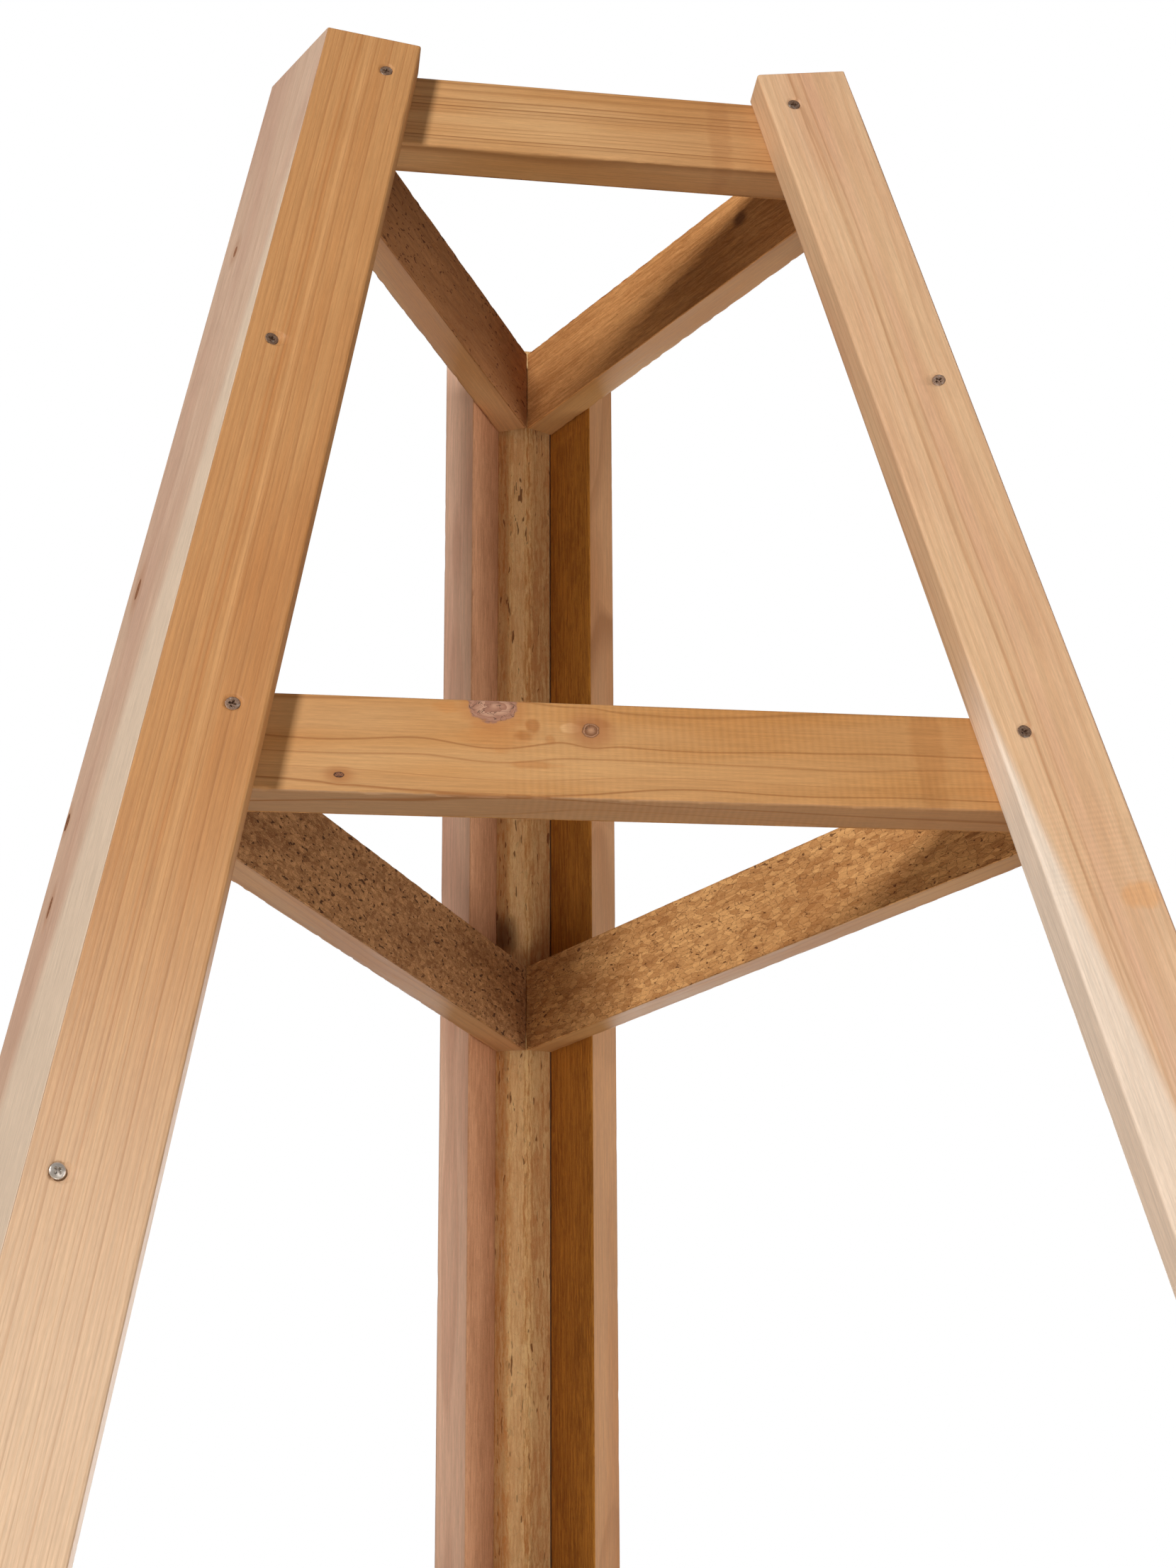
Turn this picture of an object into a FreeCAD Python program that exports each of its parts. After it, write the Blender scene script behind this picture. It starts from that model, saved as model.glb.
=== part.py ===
import FreeCAD, Part
import os
from math import cos, radians, sin

import Sketcher
from FreeCAD import Placement, Rotation, Vector

# Garden obelisk: three cedar legs lean in to the top and make a triangular pyramid.
# Each leg is a trough of three boards: a corner board and two side boards, mitred along
# their edges. Rails on the inner faces of the side boards tie the legs at each level.
# Millimetres, +Z up. The origin is the middle of the footprint's bounding box, on the ground.
# The front face looks along -Y, and the third leg is at the back.

doc = FreeCAD.newDocument("GardenObelisk")

# ---------------------------------------------------------------- driving sizes
SIZES = [
    ("overall_height", 1830, "ground to the highest point of the legs"),
    ("base_reach", 330, "pyramid axis to a face, on the ground"),
    ("top_reach", 145, "pyramid axis to a face, at the overall height"),
    ("corner_board_width", 72, "outer face of a corner board"),
    ("side_board_width", 63.5, "outer face of a side board"),
    ("board_thickness", 25.4, "all leg boards"),
    ("arris_radius", 2, "eased long edges"),
    ("rail_height", 63.5, "width of the rail stock, standing up"),
    ("rail_thickness", 26, "rail stock, smooth outside and rough inside"),
    ("rail_levels", 4, "levels of rails"),
    ("top_rail_drop", 78, "leg tops down to the lower edge of the top rails"),
    ("lowest_rail_height", 261, "ground to the lower edge of the lowest rails"),
    ("rail_end_gap", 0.5, "between the ends of neighbouring rails"),
    ("screw_head", 8.4, "diameter of the countersunk head"),
    ("screw_shank", 4.2, "diameter of the shank and of its pilot hole"),
    ("screw_length", 41, "top of the head to the tip"),
    ("screw_sink", 1, "head below the face of the board"),
    ("screw_clearance", 0.4, "clearance hole over shank, and room at the tip"),
    ("recess_width", 4.4, "cross recess, tip to tip"),
    ("recess_depth", 1.6, "cross recess"),
    ("rail_screw_inset", 19, "free edge of a side board to a rail screw"),
    ("rail_screw_rise", 40, "lower edge of a rail to its screws"),
    ("corner_screw_inset", 16, "arris of a side board to a corner screw"),
    ("corner_screw_slant", 20, "degrees that a corner screw leans to the corner"),
    ("corner_screw_stagger", 12, "offset that keeps the corner screws of a leg apart"),
    ("corner_screw_drop", 195, "lower edge of a top rail down to the corner screws under it"),
    ("corner_screw_drop_step", 29, "how much farther down they are at each lower level"),
    ("foot_screw_height", 130, "ground to the lowest corner screws"),
]
sheet = doc.addObject("Spreadsheet::Sheet", "Sizes")
for row, (name, number, note) in enumerate(SIZES, start=1):
    sheet.set(f"A{row}", note)
    sheet.set(f"B{row}", str(number))
    sheet.setAlias(f"B{row}", name)
doc.recompute()

# Formulas over the sizes. LEAN is the tangent of a face's lean, CORNER_HALF is half the
# angle between two faces measured square to a leg, and MITRE is the bevel of the boards.
LEAN = "((Sizes.base_reach - Sizes.top_reach) / Sizes.overall_height)"
FACE_STRETCH = f"sqrt(1 + {LEAN}^2)"
LEG_STRETCH = f"sqrt(1 + 4 * {LEAN}^2)"
CORNER_HALF = f"(acos((0.5 - {LEAN}^2) / (1 + {LEAN}^2)) / 2)"
MITRE = f"(45 deg + {CORNER_HALF} / 2)"
SETBACK = f"(Sizes.board_thickness / tan({MITRE}))"
LEG_LENGTH = f"Sizes.overall_height * {LEG_STRETCH}"
# Corner line of the two faces to the arris, measured in a face square to the leg.
ARRIS_REACH = f"(Sizes.corner_board_width / (2 * sin({CORNER_HALF})))"
# How far a rail end stays back from the corner board, so that two rail ends pass.
END_SETBACK = (
    f"max(0; (Sizes.rail_thickness * cos({CORNER_HALF}) + Sizes.rail_end_gap / 2"
    f" - Sizes.corner_board_width / 2 + {SETBACK}) / sin({CORNER_HALF}))"
)


def value(formula):
    """Number that a formula over the sizes gives now, in millimetres or degrees."""
    result = sheet.evalExpression(formula)
    return float(getattr(result, "Value", result))


def size(name):
    """Number in one cell of the sheet."""
    return value(f"Sizes.{name}")


UP = Vector(0, 0, 1)
FACES = {"front": 270, "right": 30, "left": 150}
LEGS = {"left": 210, "right": 330, "back": 90}
lean = value(LEAN)
corner_half = radians(value(CORNER_HALF))
leg_stretch = value(LEG_STRETCH)
face_stretch = value(FACE_STRETCH)

# The outer face of a corner board meets the ground at this distance from the axis.
foot_reach = 2 * size("base_reach") - value(ARRIS_REACH) * cos(corner_half) * leg_stretch
axis_foot = Vector(0, (size("base_reach") - foot_reach) / 2, 0)


def heading(degrees):
    """Level unit vector at a compass angle from +X."""
    return Vector(cos(radians(degrees)), sin(radians(degrees)), 0)


def leg_direction(leg):
    """Unit vector up along a leg: the line where two leaning faces meet."""
    return (UP - heading(LEGS[leg]) * (2 * lean)) / leg_stretch


def face_normal(face):
    """Outward unit normal of a leaning face."""
    return (heading(FACES[face]) + UP * lean) / face_stretch


# ---------------------------------------------------------------- drawing helpers
def new_body(label, origin, x_axis, y_axis, z_axis):
    """Empty body in a frame of its own."""
    body = doc.addObject("PartDesign::Body", label)
    body.Placement = Placement(origin, Rotation(x_axis, y_axis, z_axis, "XYZ"))
    return body


def section_sketch(body, name, points):
    """Closed outline of straight lines on the body's XY plane."""
    sketch = body.newObject("Sketcher::SketchObject", name)
    plane = [item for item in body.Origin.OriginFeatures if item.Role == "XY_Plane"]
    sketch.AttachmentSupport = [(plane[0], "")]
    sketch.MapMode = "FlatFace"
    corners = [Vector(x, y, 0) for x, y in points]
    for start, end in zip(corners, corners[1:] + corners[:1]):
        sketch.addGeometry(Part.LineSegment(start, end))
    last = len(corners) - 1
    for line in range(len(corners)):
        following = line + 1 if line < last else 0
        sketch.addConstraint(Sketcher.Constraint("Coincident", line, 2, following, 1))
    return sketch


def dimension(sketch, name, formula, kind, *references):
    """Constraint of a sketch whose number is bound to the sheet."""
    index = sketch.addConstraint(Sketcher.Constraint(kind, *references, value(formula)))
    sketch.renameConstraint(index, name)
    sketch.setExpression(f"Constraints.{name}", formula)


def pad(body, name, sketch, formula, reverse=False):
    """Prism over a sketch."""
    feature = body.newObject("PartDesign::Pad", name)
    feature.Profile = sketch
    feature.Reversed = reverse
    feature.setExpression("Length", formula)
    doc.recompute()
    return feature


def ease_edges(body, name, base, spots):
    """Round the prism edges along local Z, or along local X, that pass through spots."""
    names = []
    for number, edge in enumerate(base.Shape.Edges, start=1):
        middle = edge.CenterOfMass
        if any((middle - spot).Length < 0.01 for spot in spots):
            names.append(f"Edge{number}")
    feature = body.newObject("PartDesign::Fillet", name)
    feature.Base = (base, names)
    feature.setExpression("Radius", "Sizes.arris_radius")
    doc.recompute()
    return feature


def trim_foot(body, leg):
    """Cut a leg board level with the ground."""
    block = body.newObject("PartDesign::SubtractiveBox", "ground_cut")
    side = "4 * (Sizes.side_board_width + Sizes.corner_board_width)"
    for edge in ("Length", "Width", "Height"):
        block.setExpression(edge, side)
    reach = value(side)
    middle = axis_foot + heading(LEGS[leg]) * foot_reach
    corner = middle - Vector(reach / 2, reach / 2, reach)
    block.Placement = body.Placement.inverse() * Placement(corner, Rotation())
    doc.recompute()


# ---------------------------------------------------------------- screws
def screw_body():
    """Countersunk deck screw with a cross recess: head at the origin, tip down local Z."""
    body = new_body("wood_screw", Vector(), Vector(1, 0, 0), Vector(0, 1, 0), UP)
    head = body.newObject("PartDesign::AdditiveCone", "head")
    head.setExpression("Radius1", "Sizes.screw_shank / 2")
    head.setExpression("Radius2", "Sizes.screw_head / 2")
    head.setExpression("Height", "(Sizes.screw_head - Sizes.screw_shank) / 2")
    head.Placement.Base = Vector(0, 0, -head.Height.Value)
    head.setExpression("Placement.Base.z", "-(Sizes.screw_head - Sizes.screw_shank) / 2")
    shank = body.newObject("PartDesign::AdditiveCylinder", "shank")
    shank.setExpression("Radius", "Sizes.screw_shank / 2")
    shank.setExpression("Height", "Sizes.screw_length - Sizes.screw_head / 2 - Sizes.screw_shank / 2")
    shank.setExpression("Placement.Base.z", "-(Sizes.screw_length - Sizes.screw_shank)")
    tip = body.newObject("PartDesign::AdditiveCone", "tip")
    tip.setExpression("Radius1", "Sizes.screw_shank / 20")
    tip.setExpression("Radius2", "Sizes.screw_shank / 2")
    tip.setExpression("Height", "Sizes.screw_shank")
    tip.setExpression("Placement.Base.z", "-Sizes.screw_length")
    for name, along, across in (("slot_x", "Length", "Width"), ("slot_y", "Width", "Length")):
        slot = body.newObject("PartDesign::SubtractiveBox", name)
        slot.setExpression(along, "Sizes.recess_width")
        slot.setExpression(across, "Sizes.recess_width / 4")
        slot.setExpression("Height", "Sizes.recess_depth")
        long_start = "-Sizes.recess_width / 2"
        short_start = "-Sizes.recess_width / 8"
        slot.setExpression("Placement.Base.x", long_start if along == "Length" else short_start)
        slot.setExpression("Placement.Base.y", short_start if along == "Length" else long_start)
        slot.setExpression("Placement.Base.z", "-Sizes.recess_depth")
    doc.recompute()
    return body


def bore_clearance(body, screw_place):
    """Clearance hole and countersink in the board that a screw's head sits in."""
    local = body.Placement.inverse() * screw_place
    hole = body.newObject("PartDesign::SubtractiveCylinder", "clearance_hole")
    hole.setExpression("Radius", "(Sizes.screw_shank + Sizes.screw_clearance) / 2")
    hole.setExpression("Height", "Sizes.screw_length")
    hole.Placement = local * Placement(Vector(0, 0, -size("screw_length")), Rotation())
    sink = body.newObject("PartDesign::SubtractiveCone", "countersink")
    sink.setExpression("Radius1", "Sizes.screw_shank / 2")
    sink.setExpression("Radius2", "Sizes.screw_head + Sizes.screw_sink")
    sink.setExpression("Height", "Sizes.screw_head + Sizes.screw_sink - Sizes.screw_shank / 2")
    head_height = (size("screw_head") - size("screw_shank")) / 2
    sink.Placement = local * Placement(Vector(0, 0, -head_height), Rotation())


def bore_pilot(body, screw_place):
    """Pilot hole in the piece that a screw bites into."""
    depth = "(Sizes.screw_length + Sizes.screw_clearance)"
    hole = body.newObject("PartDesign::SubtractiveCylinder", "pilot_hole")
    hole.setExpression("Radius", "Sizes.screw_shank / 2")
    hole.setExpression("Height", depth)
    local = body.Placement.inverse() * screw_place
    hole.Placement = local * Placement(Vector(0, 0, -value(depth)), Rotation())


def screw_group(label, places):
    """All the screws of one kind, each a solid of its own."""
    group = doc.addObject("Part::Feature", label)
    group.Shape = Part.makeCompound([screw.Shape.transformed(place.Matrix) for place in places])
    return group


# ---------------------------------------------------------------- legs
def corner_board(leg):
    """Board across the outer corner of a leg, bevelled along both edges."""
    outward = heading(LEGS[leg])
    along = leg_direction(leg)
    inward = outward.cross(UP).cross(along)
    body = new_body(
        f"{leg}_leg_corner_board",
        axis_foot + outward * foot_reach,
        inward.cross(along),
        inward,
        along,
    )
    half = size("corner_board_width") / 2
    inner = half - value(SETBACK)
    thick = size("board_thickness")
    sketch = section_sketch(
        body, "section", [(-half, 0), (half, 0), (inner, thick), (-inner, thick)]
    )
    sketch.addConstraint(Sketcher.Constraint("PointOnObject", 0, 1, -1))
    sketch.addConstraint(Sketcher.Constraint("Symmetric", 0, 1, 0, 2, -2))
    sketch.addConstraint(Sketcher.Constraint("Symmetric", 2, 1, 2, 2, -2))
    dimension(sketch, "outer_width", "Sizes.corner_board_width", "DistanceX", 0, 1, 0, 2)
    dimension(sketch, "thickness", "Sizes.board_thickness", "DistanceY", 1, 1, 1, 2)
    dimension(sketch, "bevel", SETBACK, "DistanceX", 1, 2, 1, 1)
    pad(body, "board", sketch, LEG_LENGTH)
    trim_foot(body, leg)
    return body


def side_board(leg, face, hand):
    """Board in a face, bevelled where it meets the corner board. hand is 1 where the
    board runs to the right of its corner, seen from outside, and -1 to the left."""
    along = leg_direction(leg)
    normal = face_normal(face)
    corner = corner_boards[leg].Placement
    lateral = corner.Rotation.multVec(Vector(1, 0, 0))
    side = 1 if lateral.dot(along.cross(normal)) * hand > 0 else -1
    body = new_body(
        f"{leg}_leg_{face_side(leg, face)}_board",
        corner.Base + lateral * (side * size("corner_board_width") / 2),
        along.cross(normal),
        -normal,
        along,
    )
    wide = hand * size("side_board_width")
    thick = size("board_thickness")
    bevel = hand * value(SETBACK)
    sketch = section_sketch(body, "section", [(0, 0), (wide, 0), (wide, thick), (bevel, thick)])
    sketch.addConstraint(Sketcher.Constraint("Coincident", 0, 1, -1, 1))
    sketch.addConstraint(Sketcher.Constraint("Horizontal", 0))
    sketch.addConstraint(Sketcher.Constraint("Vertical", 1))
    sketch.addConstraint(Sketcher.Constraint("Horizontal", 2))
    dimension(sketch, "width", "Sizes.side_board_width", "Distance", 0)
    dimension(sketch, "thickness", "Sizes.board_thickness", "Distance", 1)
    bevel_ends = (-1, 1, 3, 1) if hand > 0 else (3, 1, -1, 1)
    dimension(sketch, "bevel", SETBACK, "DistanceX", *bevel_ends)
    board = pad(body, "board", sketch, LEG_LENGTH)
    middle = value(LEG_LENGTH) / 2
    spots = [Vector(wide, 0, middle), Vector(wide, thick, middle)]
    ease_edges(body, "eased_edges", board, spots)
    trim_foot(body, leg)
    return body


def face_side(leg, face):
    """Name of the side of a leg that a face is on."""
    if leg == "back":
        return face
    return "front" if face == "front" else "back"


def screw_on_board(board, across, ground_height, slant=0):
    """Place of a screw in a side board: across is from the arris, ground_height is the
    height of its head above the ground, and slant leans it to the corner."""
    frame = board.Placement
    x_axis = frame.Rotation.multVec(Vector(1, 0, 0))
    z_axis = frame.Rotation.multVec(UP)
    along = (ground_height - across * x_axis.z) / z_axis.z
    lean_side = -1 if across > 0 else 1
    inward = Vector(lean_side * sin(radians(slant)), cos(radians(slant)), 0)
    head = Vector(across, 0, along) + inward * size("screw_sink")
    return frame * Placement(head, Rotation(UP, -inward))


corner_boards = {}
for leg in LEGS:
    corner_boards[leg] = corner_board(leg)

# Seen from outside, a face has one leg at its left end and one at its right end.
FACE_LEGS = {
    "front": ("left", "right"),
    "right": ("right", "back"),
    "left": ("back", "left"),
}
side_boards = {}
for face, (left_leg, right_leg) in FACE_LEGS.items():
    side_boards[face, 1] = (left_leg, side_board(left_leg, face, 1))
    side_boards[face, -1] = (right_leg, side_board(right_leg, face, -1))


# ---------------------------------------------------------------- rails
rail_levels = int(size("rail_levels"))
RAIL_SPACING = (
    "(Sizes.overall_height - Sizes.top_rail_drop - Sizes.lowest_rail_height)"
    " / (Sizes.rail_levels - 1)"
)


def rail_foot(level):
    """Formula for the height of the lower edge of the rails at a level, 0 at the top."""
    return f"(Sizes.overall_height - Sizes.top_rail_drop - {level} * {RAIL_SPACING})"


def rail_length(level, rise):
    """Formula for the length of a rail at a rise above its lower edge, up the face. It
    ends at the corner boards, less the setback that lets neighbouring rails pass."""
    height = (
        f"({rail_foot(level)} + ({rise} + Sizes.board_thickness * {LEAN}) / {FACE_STRETCH})"
    )
    face_reach = f"(Sizes.base_reach - {LEAN} * {height})"
    corner_reach = f"({ARRIS_REACH} + {SETBACK} + {END_SETBACK})"
    return f"2 * (sqrt(3) * {face_reach} - {corner_reach} * {LEG_STRETCH} / {FACE_STRETCH})"


def rail(face, level):
    """Rail on the inner faces of two side boards, leaning with them, its ends parallel
    to the legs. The outer face is the body's XY plane."""
    outward = heading(FACES[face])
    normal = face_normal(face)
    across = UP.cross(outward)
    foot = value(rail_foot(level))
    reach = size("base_reach") - lean * foot - size("board_thickness") * face_stretch
    origin = axis_foot + outward * reach + UP * foot
    body = new_body(f"{face}_rail_{level + 1}", origin, across, normal.cross(across), normal)
    lower = rail_length(level, "0")
    upper = rail_length(level, "Sizes.rail_height")
    tall = size("rail_height")
    low_half = value(lower) / 2
    high_half = value(upper) / 2
    sketch = section_sketch(
        body, "outline", [(-low_half, 0), (low_half, 0), (high_half, tall), (-high_half, tall)]
    )
    sketch.addConstraint(Sketcher.Constraint("PointOnObject", 0, 1, -1))
    sketch.addConstraint(Sketcher.Constraint("Symmetric", 0, 1, 0, 2, -2))
    sketch.addConstraint(Sketcher.Constraint("Symmetric", 2, 1, 2, 2, -2))
    dimension(sketch, "lower_length", lower, "DistanceX", 0, 1, 0, 2)
    dimension(sketch, "upper_length", upper, "DistanceX", 2, 2, 2, 1)
    dimension(sketch, "height", "Sizes.rail_height", "DistanceY", 1, 1, 1, 2)
    stock = pad(body, "stock", sketch, "Sizes.rail_thickness", reverse=True)
    ease_edges(body, "eased_edges", stock, [Vector(0, 0, 0), Vector(0, tall, 0)])
    return body


rails = {}
for face in FACES:
    for level in range(rail_levels):
        rails[face, level] = rail(face, level)


# ---------------------------------------------------------------- fastening
screw = screw_body()
rail_screw_places = []
corner_screw_places = []

# One screw through each side board into each rail that crosses it.
rail_screw_across = size("side_board_width") - size("rail_screw_inset")
for (face, hand), (leg, board) in side_boards.items():
    for level in range(rail_levels):
        rise = size("rail_screw_rise") + size("board_thickness") * lean
        height = value(rail_foot(level)) + rise / face_stretch
        place = screw_on_board(board, hand * rail_screw_across, height)
        rail_screw_places.append(place)
        bore_clearance(board, place)
        bore_pilot(rails[face, level], place)

# Under each rail but the lowest, and near the foot, a slanted screw ties a side board to
# its corner board.
# The two faces that meet at a leg have theirs at different heights, so that no tips meet.
STAGGER = {"front": 0, "left": -1, "right": 1}
corner_screw_heights = [size("foot_screw_height")]
for level in range(rail_levels - 1):
    drop = size("corner_screw_drop") + level * size("corner_screw_drop_step")
    corner_screw_heights.append(value(rail_foot(level)) - drop)
for (face, hand), (leg, board) in side_boards.items():
    for height in corner_screw_heights:
        across = hand * size("corner_screw_inset")
        offset = STAGGER[face] * size("corner_screw_stagger")
        place = screw_on_board(board, across, height + offset, size("corner_screw_slant"))
        corner_screw_places.append(place)
        bore_clearance(board, place)
        bore_pilot(corner_boards[leg], place)
doc.recompute()

pieces = list(corner_boards.values())
pieces += [board for leg, board in side_boards.values()]
pieces += list(rails.values())
pieces.append(screw_group("rail_screws", rail_screw_places))
pieces.append(screw_group("corner_screws", corner_screw_places))
doc.recompute()

# ---------------------------------------------------------------- checks and files
for item in doc.Objects:
    if "Invalid" in item.State or "Error" in item.State:
        raise RuntimeError(f"{item.Label} did not compute: {item.State}")
for piece in pieces:
    if piece.Shape.isNull() or not piece.Shape.isValid():
        raise RuntimeError(f"{piece.Label} has no valid shape")

os.makedirs("parts", exist_ok=True)
for piece in pieces:
    piece.Shape.exportStep(os.path.join("parts", f"{piece.Label}.step"))
    print(piece.Label, len(piece.Shape.Solids), round(piece.Shape.Volume))
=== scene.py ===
import math

import bpy
import numpy as np
from mathutils import Matrix


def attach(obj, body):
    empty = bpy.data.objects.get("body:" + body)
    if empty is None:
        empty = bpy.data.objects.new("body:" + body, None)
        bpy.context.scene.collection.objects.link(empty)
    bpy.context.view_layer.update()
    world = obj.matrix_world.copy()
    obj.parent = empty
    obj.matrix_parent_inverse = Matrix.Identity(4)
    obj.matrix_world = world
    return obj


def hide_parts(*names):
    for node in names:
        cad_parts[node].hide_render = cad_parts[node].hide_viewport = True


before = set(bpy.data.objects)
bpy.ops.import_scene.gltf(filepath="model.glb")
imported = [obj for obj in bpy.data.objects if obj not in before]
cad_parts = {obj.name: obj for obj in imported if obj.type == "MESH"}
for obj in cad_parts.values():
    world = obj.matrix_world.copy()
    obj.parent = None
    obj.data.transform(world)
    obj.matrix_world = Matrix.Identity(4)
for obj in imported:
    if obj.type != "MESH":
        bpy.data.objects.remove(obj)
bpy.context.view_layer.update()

# ------------------------ corner boards
# One cedar board closes the outer corner of each of the three legs. Its outer face is
# planed and its inner face is left rough from the saw. Both long edges are bevelled, and
# slanted screws through the side boards hold it.
OVERALL_HEIGHT = 1.830
BASE_REACH = 0.330
TOP_REACH = 0.145
BOARD_THICKNESS = 0.0254
CORNER_BOARD_WIDTH = 0.072
LEAN = (BASE_REACH - TOP_REACH) / OVERALL_HEIGHT
LEG_STRETCH = math.sqrt(1 + 4 * LEAN**2)
FACE_STRETCH = math.sqrt(1 + LEAN**2)
LEG_LENGTH = OVERALL_HEIGHT * LEG_STRETCH
CORNER_HALF = math.acos((0.5 - LEAN**2) / (1 + LEAN**2)) / 2
SETBACK = BOARD_THICKNESS / math.tan(math.pi / 4 + CORNER_HALF / 2)
ARRIS_REACH = CORNER_BOARD_WIDTH / (2 * math.sin(CORNER_HALF))
FOOT_REACH = 2 * BASE_REACH - ARRIS_REACH * math.cos(CORNER_HALF) * LEG_STRETCH
AXIS_FOOT = np.array([0.0, (BASE_REACH - FOOT_REACH) / 2, 0.0])
UP = np.array([0.0, 0.0, 1.0])
LEG_HEADINGS = {"left": 210, "right": 330, "back": 90}
RIM = 0.0003
END_FADE = 0.05
TINY = 0.00001
MITRE_EDGE = 0.0005
SEAM_WIDTH = 0.0012
PLAIN_STEP = 0.004
ROUGH_ROW = 0.0022


def heading(degrees):
    """Level unit vector at a compass angle from +X: cosine, sine, nought."""
    turn = math.radians(degrees)
    return np.array([math.cos(turn), math.sin(turn), 0.0])


def corner_place(leg):
    """Frame of a corner board: its foot in the middle of the outer face, and rows that
    point across the board, into the leg and up the leg."""
    outward = heading(LEG_HEADINGS[leg])
    along = (UP - outward * (2 * LEAN)) / LEG_STRETCH
    inward = np.cross(np.cross(outward, UP), along)
    return AXIS_FOOT + outward * FOOT_REACH, np.array([np.cross(inward, along), inward, along])


def smooth_noise(seed, first, second, cell_first, cell_second):
    """Even random heights on a lattice of cells, eased from one lattice point to the next
    by 3t^2 - 2t^3 in both directions. Gives 0 to 1 for whole arrays of places."""
    u = first / cell_first
    v = second / cell_second
    u0 = np.floor(u).astype(int)
    v0 = np.floor(v).astype(int)
    s = (u - u0) ** 2 * (3 - 2 * (u - u0))
    t = (v - v0) ** 2 * (3 - 2 * (v - v0))
    u0 = u0 - u0.min()
    v0 = v0 - v0.min()
    heights = np.random.default_rng(seed).random((u0.max() + 2, v0.max() + 2))
    low = heights[u0, v0] * (1 - s) + heights[u0 + 1, v0] * s
    high = heights[u0, v0 + 1] * (1 - s) + heights[u0 + 1, v0 + 1] * s
    return low * (1 - t) + high * t


def spread(length, step, dense_at=(), reach=0.0075, fine=0.0007):
    """Places from 0 to length about step apart, with fine ones within reach of each dense
    place, and one place just inside either end."""
    count = max(2, int(round(length / step)) + 1)
    places = [np.linspace(0, length, count)]
    for middle in dense_at:
        near = middle + np.linspace(-reach, reach, int(round(2 * reach / fine)) + 1)
        places = [part[np.abs(part - middle) > reach + 0.3 * fine] for part in places]
        places.append(near[(near > 0) & (near < length)])
    ends = np.array([0.0, 0.0004, length - 0.0004, length])
    inner = np.concatenate(places)
    inner = inner[(inner > 0.0008) & (inner < length - 0.0008)]
    return np.sort(np.concatenate([ends, inner]))


def section_ring(corners, radii, steps, dense=None):
    """Outline of a board's section, anticlockwise. Each corner is a parabola arc from one
    side to the next, B(s) = (1-s)^2 start + 2s(1-s) corner + s^2 end, and each side is a
    straight row of places. Gives the points, their inward directions, the side that each
    is on, and how far along that side it is."""
    corners = np.array(corners, float)
    count = len(corners)
    ahead = np.roll(corners, -1, axis=0) - corners
    lengths = np.linalg.norm(ahead, axis=1)
    ahead = ahead / lengths[:, None]
    behind = np.roll(ahead, 1, axis=0)
    turn = np.arccos(np.clip((ahead * behind).sum(1), -1, 1))
    trim = np.array(radii) * np.tan(turn / 2)
    points, sides, travelled = [], [], []
    for i in range(count):
        start = trim[i]
        nxt = (i + 1) % count
        dense_here = [spot - start for spot in (dense or {}).get(i, ())]
        places = spread(lengths[i] - start - trim[nxt], steps[i], dense_here)
        points.append(corners[i] + ahead[i] * (start + places)[:, None])
        sides.append(np.full(len(places), i))
        travelled.append(start + places)
        s = np.array([0.25, 0.5, 0.75])[:, None]
        leave = corners[nxt] - ahead[i] * trim[nxt]
        join = corners[nxt] + ahead[nxt] * trim[nxt]
        points.append((1 - s) ** 2 * leave + 2 * s * (1 - s) * corners[nxt] + s**2 * join)
        sides.append(np.full(3, -1))
        travelled.append(np.full(3, lengths[i]))
    ring = np.concatenate(points)
    chord = np.roll(ring, -1, axis=0) - np.roll(ring, 1, axis=0)
    chord = chord / np.linalg.norm(chord, axis=1)[:, None]
    inward = np.stack([-chord[:, 1], chord[:, 0]], axis=1)
    return ring, inward, np.concatenate(sides), np.concatenate(travelled)


def board_rows(length, step, dense_at=()):
    """Rows of a board from one end to the other: how far along, the scale of the section
    and the inset of its rim. The ends are flat rings that grow from the middle, and the
    rim is a quarter circle."""
    arc = 1 - math.sqrt(0.5)
    body = spread(length - 2 * RIM, step, dense_at)[1:-1] + RIM
    scales = np.array([0.3, 0.6, 0.85, 0.97])
    head = np.array([0.0, 0.0, 0.0, 0.0, 0.0, RIM * arc, RIM])
    along = np.concatenate([head, body, length - head[::-1]])
    ones = np.ones(len(body) + 6)
    scale = np.concatenate([scales, ones, scales[::-1]])
    inset = np.zeros(len(along))
    inset[:7] = [RIM, RIM, RIM, RIM, RIM, RIM * arc, 0]
    inset[-7:] = inset[:7][::-1]
    return along, scale, inset


def skin(name, points):
    """Closed mesh over a grid of points, rows by columns. Columns close into a ring, and
    the first and last rows close on the middle of their own points."""
    rows, columns, _ = points.shape
    first = points[0].mean(0)
    last = points[-1].mean(0)
    verts = np.concatenate([points.reshape(-1, 3), first[None], last[None]])
    row, column = np.meshgrid(np.arange(rows - 1), np.arange(columns), indexing="ij")
    after = (column + 1) % columns
    quads = np.stack(
        [row * columns + column, row * columns + after, (row + 1) * columns + after,
         (row + 1) * columns + column], axis=-1).reshape(-1, 4)
    column = np.arange(columns)
    after = (column + 1) % columns
    foot = np.stack([np.full(columns, rows * columns), after, column], axis=1)
    top = np.stack([np.full(columns, rows * columns + 1), (rows - 1) * columns + column,
                    (rows - 1) * columns + after], axis=1)
    return verts, quads, np.concatenate([foot, top])


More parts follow.
